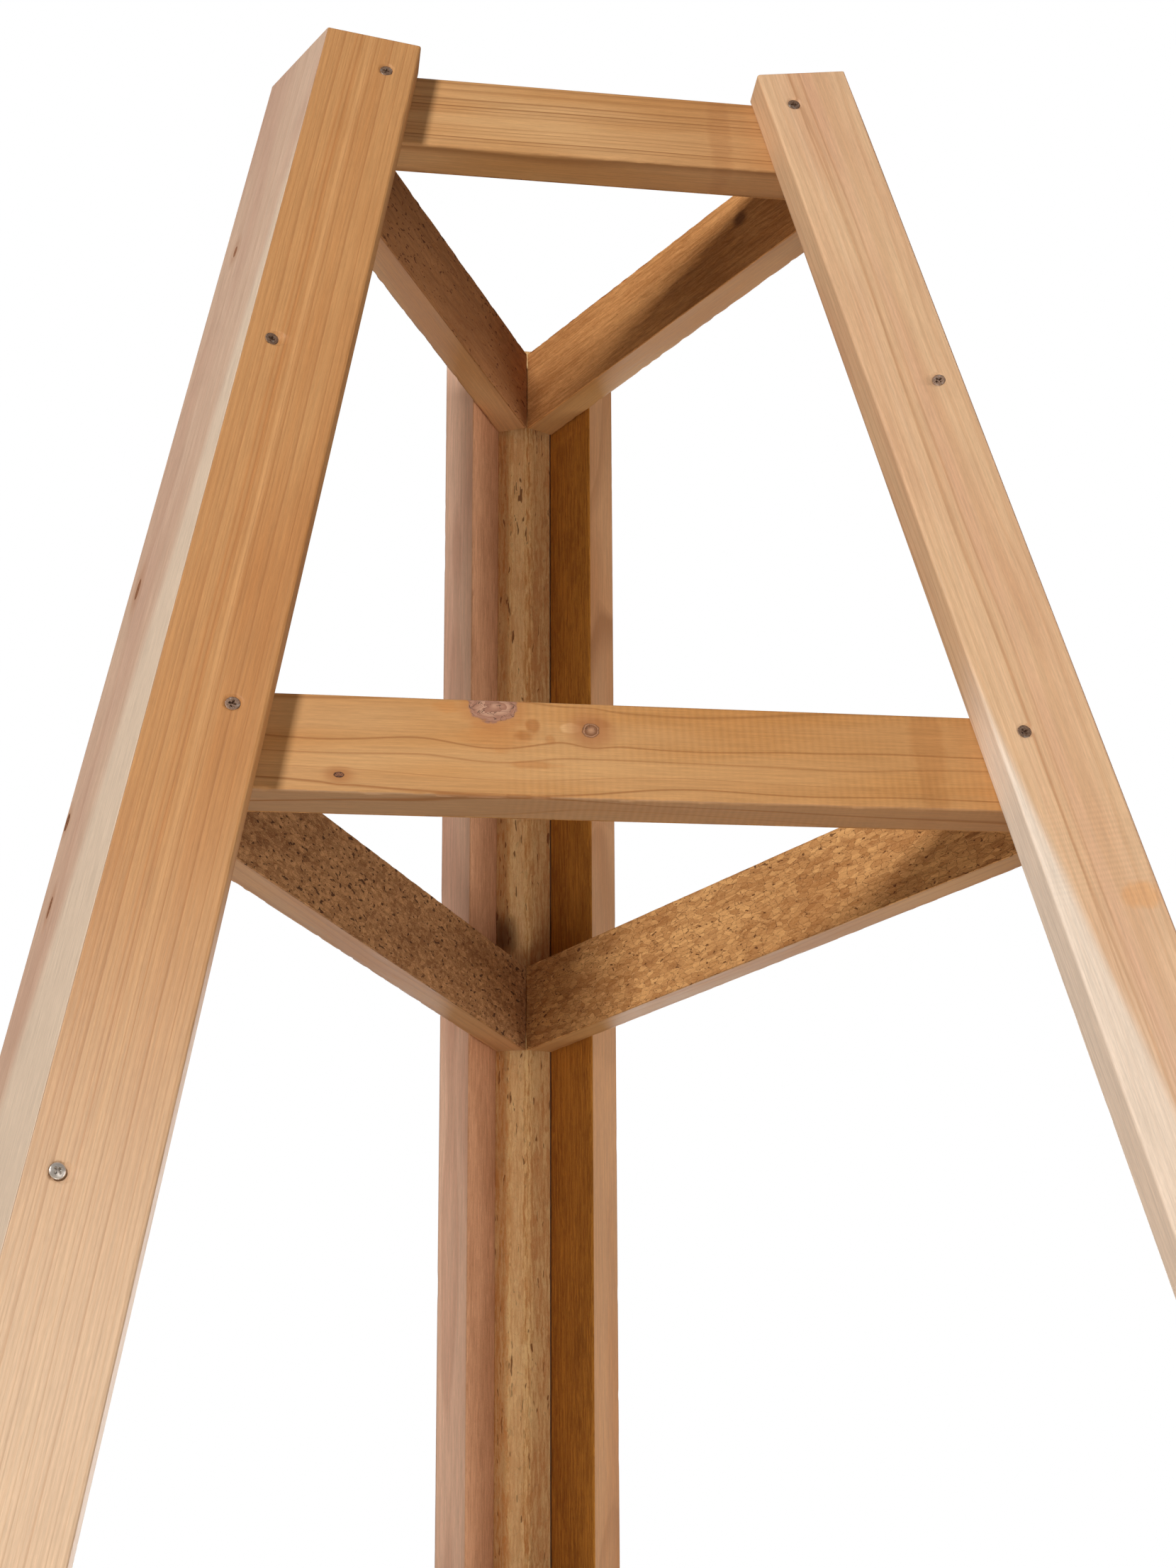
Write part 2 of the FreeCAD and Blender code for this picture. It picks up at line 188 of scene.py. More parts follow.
def mesh_object(name, verts, quads, triangles, crease=38):
    """Object at the origin from arrays of points, four-sided and three-sided faces. Edges
    that turn by more than the crease stay sharp, and the rest are smooth."""
    mesh = bpy.data.meshes.new(name)
    loops = np.concatenate([quads.ravel(), triangles.ravel()]).astype(np.int32)
    totals = np.concatenate([np.full(len(quads), 4), np.full(len(triangles), 3)]).astype(np.int32)
    starts = np.concatenate([[0], np.cumsum(totals)[:-1]]).astype(np.int32)
    mesh.vertices.add(len(verts))
    mesh.vertices.foreach_set("co", verts.astype(np.float32).ravel())
    mesh.loops.add(len(loops))
    mesh.loops.foreach_set("vertex_index", loops)
    mesh.polygons.add(len(totals))
    mesh.polygons.foreach_set("loop_start", starts)
    mesh.polygons.foreach_set("loop_total", totals)
    mesh.update(calc_edges=True)
    mesh.polygons.foreach_set("use_smooth", np.ones(len(totals), bool))
    mesh.set_sharp_from_angle(angle=math.radians(crease))
    made = bpy.data.objects.new(name, mesh)
    bpy.context.scene.collection.objects.link(made)
    return made


def board(name, place, ring, rows, foot, head, relief):
    """Board as one skin. A point is the middle of the section plus the scaled way to the
    ring, moved inward by the inset and the relief, and carried to its row. foot and head
    are slopes (per unit of each section axis) of the two end cuts, which fade out over
    the last 50 mm, so that the rows between stay level."""
    origin, axes = place
    outline, inward, sides, travelled = ring
    along, scale, inset = rows
    middle = outline.mean(0)
    depth = relief(sides, *np.broadcast_arrays(travelled, along[:, None]))
    way = outline[None] + inward[None] * (inset[:, None] + depth)[..., None] - middle
    flat = middle + scale[:, None, None] * way
    low = np.clip(1 - along / END_FADE, 0, 1)[:, None]
    high = np.clip(1 - (along[-1] - along) / END_FADE, 0, 1)[:, None]
    run = along[:, None] + flat @ np.array(foot) * low + flat @ np.array(head) * high
    local = np.concatenate([flat, run[..., None]], axis=2)
    return mesh_object(name, *skin(name, origin + local @ axes))


def torn_saw_face(seed, side, travelled, along, depth, chip):
    """Depth of a rough face under its own plane: fuzz of 1.4 by 5 mm, plus slow waves, plus
    chips of 2.6 by 9 mm and pits of 1.1 by 2.2 mm with steep sides where their noise is
    high."""
    fuzz = smooth_noise(seed, travelled, along, 0.0014, 0.005)
    slow = smooth_noise(seed + 1, travelled, along, 0.012, 0.06)
    flake = smooth_noise(seed + 2, travelled, along, 0.0026, 0.009)
    torn = np.clip((flake - 0.62) / 0.1, 0, 1)
    crumb = smooth_noise(seed + 3, travelled, along, 0.0011, 0.0022)
    pitted = np.clip((crumb - 0.78) / 0.08, 0, 1)
    return depth * (0.55 * fuzz + 0.45 * slow) + chip * (torn + 0.6 * pitted)


class Term:
    """Number, colour or vector that a node gives. Sums and products of terms are Math nodes,
    so that a formula reads as one."""

    def __init__(self, socket):
        self.socket = socket
        self.tree = socket.id_data

    def __add__(self, other):
        return reckon("ADD", self, other)

    def __sub__(self, other):
        return reckon("SUBTRACT", self, other)

    def __mul__(self, other):
        return reckon("MULTIPLY", self, other)

    def __truediv__(self, other):
        return reckon("DIVIDE", self, other)

    def __abs__(self):
        return reckon("ABSOLUTE", self)


def give(socket, term):
    """Feed a socket with a number, a colour or a term."""
    if isinstance(term, Term):
        socket.id_data.links.new(term.socket, socket)
    else:
        socket.default_value = term


def new_node(kind, *terms):
    """Node of one kind in the tree of the first of the terms that is in a tree."""
    tree = next(term.tree for term in terms if isinstance(term, Term))
    return tree.nodes.new(kind)


def reckon(operation, *terms):
    """Term from a Math node."""
    made = new_node("ShaderNodeMath", *terms)
    made.operation = operation
    for socket, term in zip(made.inputs, terms):
        give(socket, term)
    return Term(made.outputs[0])


def split(vector):
    """The three parts of a vector or colour."""
    made = new_node("ShaderNodeSeparateXYZ", vector)
    give(made.inputs[0], vector)
    return [Term(part) for part in made.outputs]


def ease(number, low, high, first=0.0, last=1.0):
    """Number eased from first at low to last at high, and level outside them."""
    made = new_node("ShaderNodeMapRange", number)
    made.interpolation_type = "SMOOTHSTEP"
    for socket, term in zip(("Value", "From Min", "From Max", "To Min", "To Max"),
                            (number, low, high, first, last)):
        give(made.inputs[socket], term)
    return Term(made.outputs["Result"])


def stretch(vector, scale, plus=(0.0, 0.0, 0.0)):
    """Vector with its three parts multiplied, plus another vector."""
    made = new_node("ShaderNodeVectorMath", vector)
    made.operation = "MULTIPLY_ADD"
    for socket, term in zip(made.inputs, (vector, scale, plus)):
        give(socket, term)
    return Term(made.outputs[0])


def noise(vector, scale, detail, roughness=0.5, distortion=0.0, output="Fac"):
    """Cloud noise over a vector, with scale lumps to the metre in each direction."""
    made = new_node("ShaderNodeTexNoise", vector)
    give(made.inputs["Vector"], stretch(vector, scale))
    made.inputs["Scale"].default_value = 1.0
    made.inputs["Detail"].default_value = detail
    made.inputs["Roughness"].default_value = roughness
    made.inputs["Distortion"].default_value = distortion
    return Term(made.outputs[output])


def flakes(vector, scale, feature, output):
    """Cell pattern over a vector, with scale cells to the metre in each direction."""
    made = new_node("ShaderNodeTexVoronoi", vector)
    made.feature = feature
    give(made.inputs["Vector"], stretch(vector, scale))
    made.inputs["Scale"].default_value = 1.0
    return Term(made.outputs[output])


def tint(share, first, second, how="MIX"):
    """Colour between two colours, or one laid on the other in the way named. A colour is a
    term or three numbers of a paint chart."""
    made = new_node("ShaderNodeMix", share, first, second)
    made.data_type = "RGBA"
    made.blend_type = how
    give(made.inputs[0], share)
    for socket, colour in ((6, first), (7, second)):
        give(made.inputs[socket], colour if isinstance(colour, Term) else paint(*colour))
    return Term(made.outputs[2])


def dapple(colour, number, low, high, dim, bright):
    """Colour multiplied by a number that is eased from dim at low to bright at high."""
    grey = ease(number, low, high, dim, bright)
    made = new_node("ShaderNodeCombineColor", grey)
    for socket in made.inputs:
        give(socket, grey)
    return tint(1.0, colour, Term(made.outputs[0]), "MULTIPLY")


def paint(red, green, blue):
    """Colour from the 0 to 255 numbers of a paint chart: ((c + 0.055) / 1.055)^2.4."""
    return tuple(((c / 255 + 0.055) / 1.055) ** 2.4 for c in (red, green, blue)) + (1.0,)


def new_material(name):
    """Node material, and its shader."""
    material = bpy.data.materials.new(name)
    material.use_nodes = True
    return material, material.node_tree.nodes["Principled BSDF"]


def emboss(shader, height, strength, distance):
    """Fine relief of a coat."""
    made = new_node("ShaderNodeBump", height)
    made.inputs["Strength"].default_value = strength
    made.inputs["Distance"].default_value = distance
    give(made.inputs["Height"], height)
    give(shader.inputs["Normal"], Term(made.outputs["Normal"]))


def knot_field(knot, across, along, pith_across, ragged):
    """How far a knot pushes the rings about it, and its edge, which is 1 on the rim of the
    branch and less inside. The distance is an ellipse's, sqrt(side^2 + up^2)."""
    at_across, at_along = knot["at"]
    side = (across - at_across) / knot["radius"]
    up = (along - at_along) / (knot["radius"] * knot["long"])
    away = reckon("SQRT", side * side + up * up)
    way = 1 if at_across > pith_across else -1
    push = side / (away + 0.4) * ease(away, 4.5, 0.3)
    return push * (-way * knot["radius"] * knot["push"]), away - 0.25 + ragged * 0.5


def rough_coat(local, across, late_wood, branches, look):
    """Colour and height of a face left from the saw. Flakes are cells on a warped vector
    with dark seams between them, strands are noise drawn out along the board, and chips
    and pits are dark where their own noise is high."""
    warp = noise(local, (160, 160, 80), 2.0, output="Color")
    warped = stretch(warp, (0.0035, 0.0035, 0.007), local)
    flake = split(flakes(warped, look["cells"], "F1", "Color"))[0]
    seam = flakes(warped, look["cells"], "DISTANCE_TO_EDGE", "Distance")
    chip = noise(warped, look["chips"], 2.0, 0.55)
    chip = ease(chip, look["chip_from"], look["chip_from"] + 0.04)
    speckle = noise(local, (1500, 1500, 600), 2.0, 0.7)
    strand = noise(warped, (700, 700, 34), 3.0, 0.6)
    drift = noise(local, (40, 40, 9), 2.0)
    tone = (flake - 0.5) * look["flake"] + (speckle - 0.5) * (2 * look["speck"])
    tone = tone + (strand - 0.5) * (2 * look["strand"]) + (drift - 0.5) * 0.8 + 0.5
    coat = tint(ease(tone, 0.0, 1.0), look["dark"], look["light"])
    # Painted light and shade: bands along the face, pale where light falls and dark where shade falls.
    for centre, width, strength, shade in look["light_and_shade_bands"]:
        off = abs(across + strand * 0.006 - (centre + 0.003))
        coat = tint(ease(off, width, width * 0.4) * strength, coat, shade)
    coat = tint(late_wood * look["lines"], coat, look["dark"])
    seam = ease(seam, 0.08, 0.01) * ease(speckle, 0.42, 0.62)
    coat = tint(seam * look["seams"], coat, look["deep"])
    coat = tint(chip * look["chipped"], coat, look["chip_colour"])
    dense = drift * -0.25 + (look["pits_from"] + 0.125)
    pit = ease(noise(warped, look["pits"], 1.0) - dense, 0.0, 0.05, 0.0, 0.85)
    coat = tint(pit, coat, look["deep"])
    for knot, edge in branches:
        if knot["rough"]:
            coat = tint(ease(edge, 2.4, 0.6, 0.0, 0.75), coat, knot["dark"])
    return coat, speckle * 1.6 + flake * 1.2 - chip - pit


def cedar(name, place, wood, pith, spacing, wave=0.003, line=0.6, sap=None, knots=(),
          streaks=(), rough=None, rough_at=(0.0238, 0.0243), top=None, tilt=(0.0, 0.0),
          chatter=None, mottle=0.5, fade=None, stains_and_shadows=(), late_from=0.45):
    """Cedar cut from a log. A growth ring is a cylinder about the pith, bent by slow
    noise and pushed aside by knots. Its number is the radius over the ring spacing, and
    the late wood is a thin dark line at the end of each ring. Fibres are noise drawn out
    along the board. Past the two depths of rough_at the face is left from the saw. wood is
    the colour of the early wood, of the late wood and of slow patches."""
    origin, axes = place
    early, late, patch = wood
    material, shader = new_material(name)
    tree = material.node_tree
    mapping = tree.nodes.new("ShaderNodeMapping")
    mapping.vector_type = "POINT"
    mapping.inputs["Rotation"].default_value = Matrix(axes.tolist()).to_euler("XYZ")
    mapping.inputs["Location"].default_value = -axes @ origin
    coordinates = tree.nodes.new("ShaderNodeTexCoord")
    give(mapping.inputs["Vector"], Term(coordinates.outputs["Object"]))
    local = Term(mapping.outputs["Vector"])
    across, depth, along = split(local)

    # Slow bends of the grain.
    bend = split(noise(local, (22, 22, 5), 1.0, output="Color"))
    sway = bend[0] * (2 * wave) - wave
    dip = bend[1] * (2 * wave) - wave
    from_pith = across - pith[0] + sway - along * tilt[0]
    under_pith = depth - pith[1] + dip - along * tilt[1]
    radius = reckon("SQRT", from_pith * from_pith + under_pith * under_pith)

    # Knots: a branch runs through the thickness, and the rings part around it.
    ragged = noise(local, (260, 260, 160), 2.0)
    lobed = noise(local, (95, 95, 70), 1.0)
    ragged = ragged - 0.6 + lobed * 1.2
    branches = []
    for knot in knots:
        push, edge = knot_field(knot, across, along, pith[0], ragged)
        radius = radius + push
        branches.append((knot, edge))

    # Rings of uneven width, with one tone each and a thin line of late wood.
    slow = tree.nodes.new("ShaderNodeTexNoise")
    slow.noise_dimensions = "1D"
    slow.inputs["Scale"].default_value = 1.0
    slow.inputs["Detail"].default_value = 1.0
    give(slow.inputs["W"], radius * (0.35 / spacing))
    ring = radius / spacing + Term(slow.outputs["Fac"]) * 2.2
    phase = reckon("FRACT", ring)
    dice = tree.nodes.new("ShaderNodeTexWhiteNoise")
    dice.noise_dimensions = "1D"
    give(dice.inputs["W"], reckon("FLOOR", ring))
    ring_tone = Term(dice.outputs["Value"])
    fibre = noise(local, (800, 800, 26), 3.0, 0.6)
    fine = noise(local, (2600, 2600, 160), 2.0, 0.6)
    late_wood = ease(phase, late_from, 0.9) * ease(phase, 0.9, 1.0, 1.0, 0.0)
    late_wood = late_wood * (ring_tone * (0.75 * line) + 0.35 * line)
    late_wood = late_wood * ease(fibre, 0.2, 0.6, 0.55, 1.0)

    # Colour of the planed wood.
    cloud = noise(local, (26, 26, 4), 2.0)
    colour = tint(ease(cloud, 0.62 - 0.4 * mottle, 0.9 - 0.4 * mottle), early, patch)
    colour = tint(ring_tone * 0.22, colour, late)
    for centre, width, strength, shade in streaks:
        off = abs(across + sway - centre)
        share = ease(off, width, width * 0.1) * ease(cloud, 0.3, 0.6, 0.5 * strength, strength)
        colour = tint(share, colour, shade)
    if sap:
        shore = (across + sway - sap["start"] - along * sap["slope"]) * sap["way"]
        sapwood = ease(shore, -sap["soft"], sap["soft"])
        colour = tint(sapwood, colour, sap["colour"])
        late_wood = late_wood * ease(sapwood, 0.0, 1.0, 1.0, 0.35)
    # Stains and shadows: real stains, and dark bands across the front rails near their right ends that
    # are painted shadow.
    for (at_across, at_along), (wide, tall), strength, shade in stains_and_shadows:
        off = (across - at_across) / wide
        up = (along - at_along) / tall
        off = off * off + up * up - 0.7 + (cloud + ragged) * 0.7
        colour = tint(ease(off, 1.0, 0.2, 0.0, strength), colour, shade)
    # A ramp along the board towards another colour: painted light that makes the front leg boards paler
    # towards the foot (partly paler wood too), and painted shade that makes the front rails darker
    # towards their right ends.
    if fade:
        share = ease(along, fade["start"], fade["end"], 0.0, fade["strength"])
        colour = tint(share, colour, fade["colour"])
        late_wood = late_wood * ease(share, 0.0, 1.0, 1.0, 0.6)
    colour = tint(late_wood, colour, late)
    colour = dapple(colour, fibre, 0.25, 0.75, 0.88, 1.08)
    colour = dapple(colour, fine, 0.3, 0.7, 0.94, 1.04)
    height = fibre * 0.5 - late_wood * 0.5

    # Marks that the planer leaves, close lines across the board over part of its length.
    if chatter:
        mark = reckon("SINE", along * (2 * math.pi / chatter["pitch"]))
        mark = mark * ease(along, *chatter["start"]) * ease(along, *chatter["end"])
        mark = mark * ease(cloud, 0.35, 0.6)
        height = height + mark * 0.25
        colour = dapple(colour, mark, -1, 1, 0.965, 1.025)

    for knot, edge in branches:
        halo = ease(edge, knot["halo"], 1.0) * knot["stain"]
        colour = tint(halo, colour, knot["stain_colour"])
        turns = reckon("FRACT", edge * knot["rings"])
        core = tint(ease(turns, 0.1, 0.9), knot["pale"], knot["dark"])
        core = tint(ease(edge, 0.75, 1.0), core, knot["dark"])
        check = abs(noise(local, (240, 240, 120), 2.0, 0.6, 1.0) - 0.5)
        crack = ease(check, 0.022, 0.004) * knot["crack"]
        core = tint(crack, core, knot["deep"])
        inside = ease(edge, 1.08, 0.96)
        colour = tint(inside, colour, core)
        height = height - inside * crack * 2.0

    shine = ease(fibre, 0.2, 0.8, 0.50, 0.66)
    if rough:
        mask = ease(depth, *rough_at)
        coat, rugged = rough_coat(local, across, late_wood, branches, rough)
        colour = tint(mask, colour, coat)
        height = height - height * mask + rugged * mask
        shine = shine + mask * 0.3
    if top:
        colour = tint(ease(along, *top) * 0.55, colour, late)

    emboss(shader, height, 0.35, 0.0006)
    give(shader.inputs["Base Color"], colour)
    give(shader.inputs["Roughness"], shine)
    shader.inputs["Specular IOR Level"].default_value = 0.3
    return material


KNOT = dict(
    pale=(150, 102, 72), dark=(92, 52, 28), deep=(38, 20, 10),
    stain_colour=(150, 88, 40), stain=0.55, halo=2.4, long=1.2, push=0.8,
    rings=3.5, crack=0.8, rough=False,
)
ROUGH = dict(
    light=(205, 150, 92), dark=(142, 92, 48), deep=(84, 46, 20),
    chip_colour=(140, 88, 46), cells=(330, 330, 130), chips=(120, 120, 48),
    chip_from=0.62, chipped=0.3, seams=0.45, lines=0.5, pits=(700, 700, 300),
    pits_from=0.74, flake=0.3, speck=0.35, strand=0.3, light_and_shade_bands=(),
)
LEG_TOP = (LEG_LENGTH - 0.0007, LEG_LENGTH - 0.0002)
corner_half_width = CORNER_BOARD_WIDTH / 2
corner_inner = corner_half_width - SETBACK
corner_section = section_ring(
    [(-corner_half_width, 0), (corner_half_width, 0), (corner_inner, BOARD_THICKNESS),
     (-corner_inner, BOARD_THICKNESS)],
    [MITRE_EDGE, MITRE_EDGE, 0.0014, 0.0014],
    [PLAIN_STEP, PLAIN_STEP, 0.0013, PLAIN_STEP],
)
CORNER_LOOKS = dict(
    left=dict(
        wood=((206, 174, 149), (174, 132, 107), (196, 159, 136)),
        pith=(-0.05, 0.09), spacing=0.0030, wave=0.004, line=0.22, mottle=0.6,
        sap=dict(way=1, start=-0.096, slope=0.075, soft=0.006, colour=(214, 190, 166)),
        knots=[
            dict(KNOT, at=(-0.0188, 1.697), radius=0.0018, long=2.6, stain=0.25, push=2.5,
                 dark=(140, 92, 62), pale=(160, 112, 82), halo=4.0, crack=0.3),
            dict(KNOT, at=(-0.0244, 1.428), radius=0.0018, long=4.0, stain=0.3, push=2.5,
                 dark=(132, 84, 54), pale=(150, 104, 74), halo=4.0, crack=0.4),
            dict(KNOT, at=(-0.0328, 1.2715), radius=0.002, long=2.6, stain=0.3, halo=3.0,
                 dark=(110, 66, 40)),
            dict(KNOT, at=(-0.0238, 1.215), radius=0.0014, long=5.0, stain=0.3, halo=3.0,
                 dark=(120, 76, 48)),
        ],
        rough=ROUGH,
    ),
    right=dict(
        wood=((200, 158, 124), (150, 102, 70), (188, 140, 106)),
        pith=(0.07, 0.06), spacing=0.003, line=0.4,
        rough=dict(ROUGH, strand=0.5, flake=0.2),
    ),
    back=dict(
        wood=((198, 156, 120), (146, 98, 64), (184, 138, 106)),
        pith=(-0.02, -0.07), spacing=0.0034, wave=0.004, line=0.4,
        knots=[
            dict(KNOT, at=(0.015, 1.3765), radius=0.006, long=1.6, rough=True),
        ],
        rough=dict(ROUGH, light=(255, 220, 158), dark=(214, 148, 86), deep=(122, 68, 30),
                   strand=1.3, flake=0.08, speck=0.3, seams=0.2, chipped=0.2, chip_from=0.64,
                   pits=(460, 460, 60), pits_from=0.69, lines=0.3,
                   # Painted light and shade: a pale band near the middle of the rough face and darker
                   # bands towards both edges, where the side boards shade it.
                   light_and_shade_bands=[
                       (0.0185, 0.008, 0.6, (172, 104, 50)), (0.0045, 0.007, 0.5, (254, 214, 158)),
                       (-0.014, 0.012, 0.45, (186, 138, 94)),
                   ]),
    ),
)
for order, leg in enumerate(LEG_HEADINGS):
    place = corner_place(leg)
    axes = place[1]
    level_foot = (-axes[0][2] / axes[2][2], -axes[1][2] / axes[2][2])

    def corner_relief(side, travelled, along, seed=100 + 10 * order):
        """Rough on the inner face, and open by a seam's width at one of its edges."""
        rough = torn_saw_face(seed, side, travelled, along, 0.0005, 0.0004)
        gap = SEAM_WIDTH * np.clip((0.008 - travelled) / 0.003, 0, 1)
        arris = (side == -1) & (np.abs(travelled - 2 * corner_inner) < 0.0001)
        gap = np.where(side == 3, gap, np.where(arris, SEAM_WIDTH, 0.0))
        return np.where(side == 2, rough, gap)

    node = f"{leg}_leg_corner_board"
    piece = board(f"{node}_cedar", place, corner_section, board_rows(LEG_LENGTH, ROUGH_ROW),
                  level_foot, (0, 0), corner_relief)
    piece.data.materials.append(cedar(f"{leg}_corner_cedar", place, top=LEG_TOP, **CORNER_LOOKS[leg]))
    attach(piece, "root")
    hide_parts(node)

# ------------------------ side boards
# Two planed cedar boards stand beside each corner board, one in each face of the
# obelisk. One long edge is bevelled against the corner board and the other is rounded.
# The heads of the rail screws and of the corner screws sit in small countersinks.
SIDE_BOARD_WIDTH = 0.0635
EASED = 0.002
FACE_HEADINGS = {"front": 270, "right": 30, "left": 150}
RAIL_LEVELS = 4
TOP_RAIL_DROP = 0.078
LOWEST_RAIL_HEIGHT = 0.261
RAIL_HEIGHT = 0.0635
SCREW_HEAD = 0.0084
SCREW_SINK = 0.001
RAIL_SCREW_ACROSS = SIDE_BOARD_WIDTH - 0.019
RAIL_SCREW_RISE = 0.040
CORNER_SCREW_ACROSS = 0.016
CORNER_SCREW_SLANT = 20
CORNER_SCREW_STAGGER = {"front": 0.0, "left": -0.012, "right": 0.012}
FOOT_SCREW_HEIGHT = 0.130
CORNER_SCREW_DROP = 0.195
CORNER_SCREW_DROP_STEP = 0.029
rail_spacing = (OVERALL_HEIGHT - TOP_RAIL_DROP - LOWEST_RAIL_HEIGHT) / (RAIL_LEVELS - 1)
rail_feet = [OVERALL_HEIGHT - TOP_RAIL_DROP - level * rail_spacing for level in range(RAIL_LEVELS)]
rail_screw_heights = [
    foot + (RAIL_SCREW_RISE + BOARD_THICKNESS * LEAN) / FACE_STRETCH for foot in rail_feet
]
corner_screw_heights = [FOOT_SCREW_HEIGHT] + [
    rail_feet[level] - CORNER_SCREW_DROP - level * CORNER_SCREW_DROP_STEP
    for level in range(RAIL_LEVELS - 1)
]
# Leg, face and hand of each side board. Seen from outside, hand 1 is at a face's left end.
SIDE_BOARDS = {
    "left_leg_front_board": ("left", "front", 1),
    "right_leg_front_board": ("right", "front", -1),
    "right_leg_back_board": ("right", "right", 1),
    "back_leg_right_board": ("back", "right", -1),
    "back_leg_left_board": ("back", "left", 1),
    "left_leg_back_board": ("left", "left", -1),
}


def face_normal(face):
    """Outward unit normal of a leaning face."""
    return (heading(FACE_HEADINGS[face]) + UP * LEAN) / FACE_STRETCH


def side_place(leg, face, hand):
    """Frame of a side board: the foot of its arris, and rows that point across the board,
    inward and up the leg."""
    origin, axes = corner_place(leg)
    normal = face_normal(face)
    across = np.cross(axes[2], normal)
    side = 1 if axes[0] @ across * hand > 0 else -1
    return origin + axes[0] * side * CORNER_BOARD_WIDTH / 2, np.array([across, -normal, axes[2]])


def screw_seat(place, across, ground_height, slant):
    """Head and inward direction of a screw in a side board, in the board's own frame."""
    axes = place[1]
    along = (ground_height - across * axes[0][2]) / axes[2][2]
    lean_side = -1 if across > 0 else 1
    angle = math.radians(slant)
    inward = np.array([lean_side * math.sin(angle), math.cos(angle), 0.0])
    return np.array([across, 0.0, along]) + inward * SCREW_SINK, inward


def screw_seats(place, face, hand):
    """Seats of all the screws in a side board: its rail screws, then its corner screws."""
    rail = [screw_seat(place, hand * RAIL_SCREW_ACROSS, height, 0) for height in rail_screw_heights]
    corner = [
        screw_seat(place, hand * CORNER_SCREW_ACROSS, height + CORNER_SCREW_STAGGER[face],
                   CORNER_SCREW_SLANT)
        for height in corner_screw_heights
    ]
    return rail, corner


def countersinks(seats, across, along, seed):
    """Depth of the screw holes under the outer face: the cone of 45 degrees about each
    screw's axis, a little wider than its head, with a rim torn by up to 0.5 mm. Halving
    finds the depth at which a point leaves the cone."""
    total = np.zeros(np.broadcast(across, along).shape)
    for number, (head, inward) in enumerate(seats):
        angle = np.arctan2(along - head[2], across - head[0])
        torn = smooth_noise(seed + number, angle + 10, np.zeros_like(angle), 0.5, 1.0)
        wide = SCREW_HEAD / 2 + 0.00015 + 0.0005 * torn**2
        shallow = np.zeros(total.shape)
        deep = np.full(total.shape, 0.0036)
        for _ in range(11):
            middle = (shallow + deep) / 2
            x = across - head[0]
            y = middle - head[1]
            z = along - head[2]
            down = x * inward[0] + y * inward[1]
            out = np.sqrt(np.maximum(x**2 + y**2 + z**2 - down**2, 0))
            inside = out + down < wide
            shallow = np.where(inside, middle, shallow)
            deep = np.where(inside, deep, middle)
        total = np.maximum(total, shallow)
    return np.where(total > TINY, total, 0.0)


STREAK = (176, 110, 54)
SIDE_LOOKS = dict(
    left_leg_front_board=dict(
        wood=((189, 137, 85), (155, 98, 51), (179, 122, 70)),
        pith=(-0.12, 0.02), spacing=0.0027, wave=0.0016, line=0.5,
        streaks=[
            (0.0205, 0.0016, 0.45, STREAK), (0.0245, 0.0018, 0.5, STREAK), (0.040, 0.004, 0.25, STREAK),
            (0.031, 0.003, 0.35, (222, 170, 114)),
        ],
        # Paler towards the foot: partly paler wood, partly painted light that grows towards the bottom.
        fade=dict(start=1.30, end=0.90, strength=0.8, colour=(218, 189, 159)),
    ),
    right_leg_front_board=dict(
        wood=((222, 182, 142), (182, 128, 86), (214, 168, 130)),
        pith=(0.02, 0.085), spacing=0.0042, wave=0.004, line=0.42, mottle=0.45,
        sap=dict(way=-1, start=0.0588, slope=-0.09, soft=0.004, colour=(232, 212, 192)),
        streaks=[
            (-0.030, 0.008, 0.35, (208, 152, 122)), (-0.041, 0.0012, 0.5, (182, 128, 84)),
            (-0.0335, 0.0010, 0.4, (182, 128, 84)), (-0.048, 0.004, 0.3, (226, 188, 152)),
        ],
        stains_and_shadows=[((-0.012, 1.2185), (0.016, 0.011), 0.6, (222, 158, 96))],
        chatter=dict(pitch=0.0036, start=(1.21, 1.235), end=(1.30, 1.26)),
        # Paler towards the foot: partly paler wood, partly painted light that grows towards the bottom.
        fade=dict(start=1.30, end=1.00, strength=0.5, colour=(226, 198, 172)),
    ),
    right_leg_back_board=dict(
        wood=((206, 158, 118), (156, 104, 68), (194, 140, 100)),
        pith=(0.09, 0.05), spacing=0.003, line=0.45,
    ),
    back_leg_right_board=dict(
        wood=((206, 156, 112), (150, 98, 56), (194, 138, 92)),
        pith=(0.074, 0.012), tilt=(0.02, 0.0), spacing=0.0040, wave=0.004, line=0.6,
        rough=dict(ROUGH, light=(196, 130, 48), dark=(136, 80, 20), deep=(74, 38, 12),
                   strand=0.8, flake=0.04, speck=0.15, seams=0.0, chipped=0.0,
                   pits_from=0.86, lines=0.8),
    ),
    back_leg_left_board=dict(
        wood=((232, 190, 162), (188, 134, 108), (216, 166, 140)),
        pith=(0.10, 0.012), spacing=0.0036, line=0.35,
        rough=dict(ROUGH, light=(228, 172, 132), dark=(182, 128, 90), deep=(110, 66, 38),
                   strand=0.7, flake=0.06, speck=0.2, seams=0.0, chipped=0.0,
                   pits_from=0.82, lines=0.5),
        knots=[dict(KNOT, at=(0.0251, 0.9963), radius=0.003, long=1.6, halo=3.5, stain=0.5)],
    ),
    left_leg_back_board=dict(
        wood=((210, 164, 120), (158, 106, 66), (198, 146, 100)),
        pith=(0.10, 0.03), spacing=0.0026, line=0.45,
    ),
)
side_corners = [(0, 0), (SIDE_BOARD_WIDTH, 0), (SIDE_BOARD_WIDTH, BOARD_THICKNESS),
                (SETBACK, BOARD_THICKNESS)]
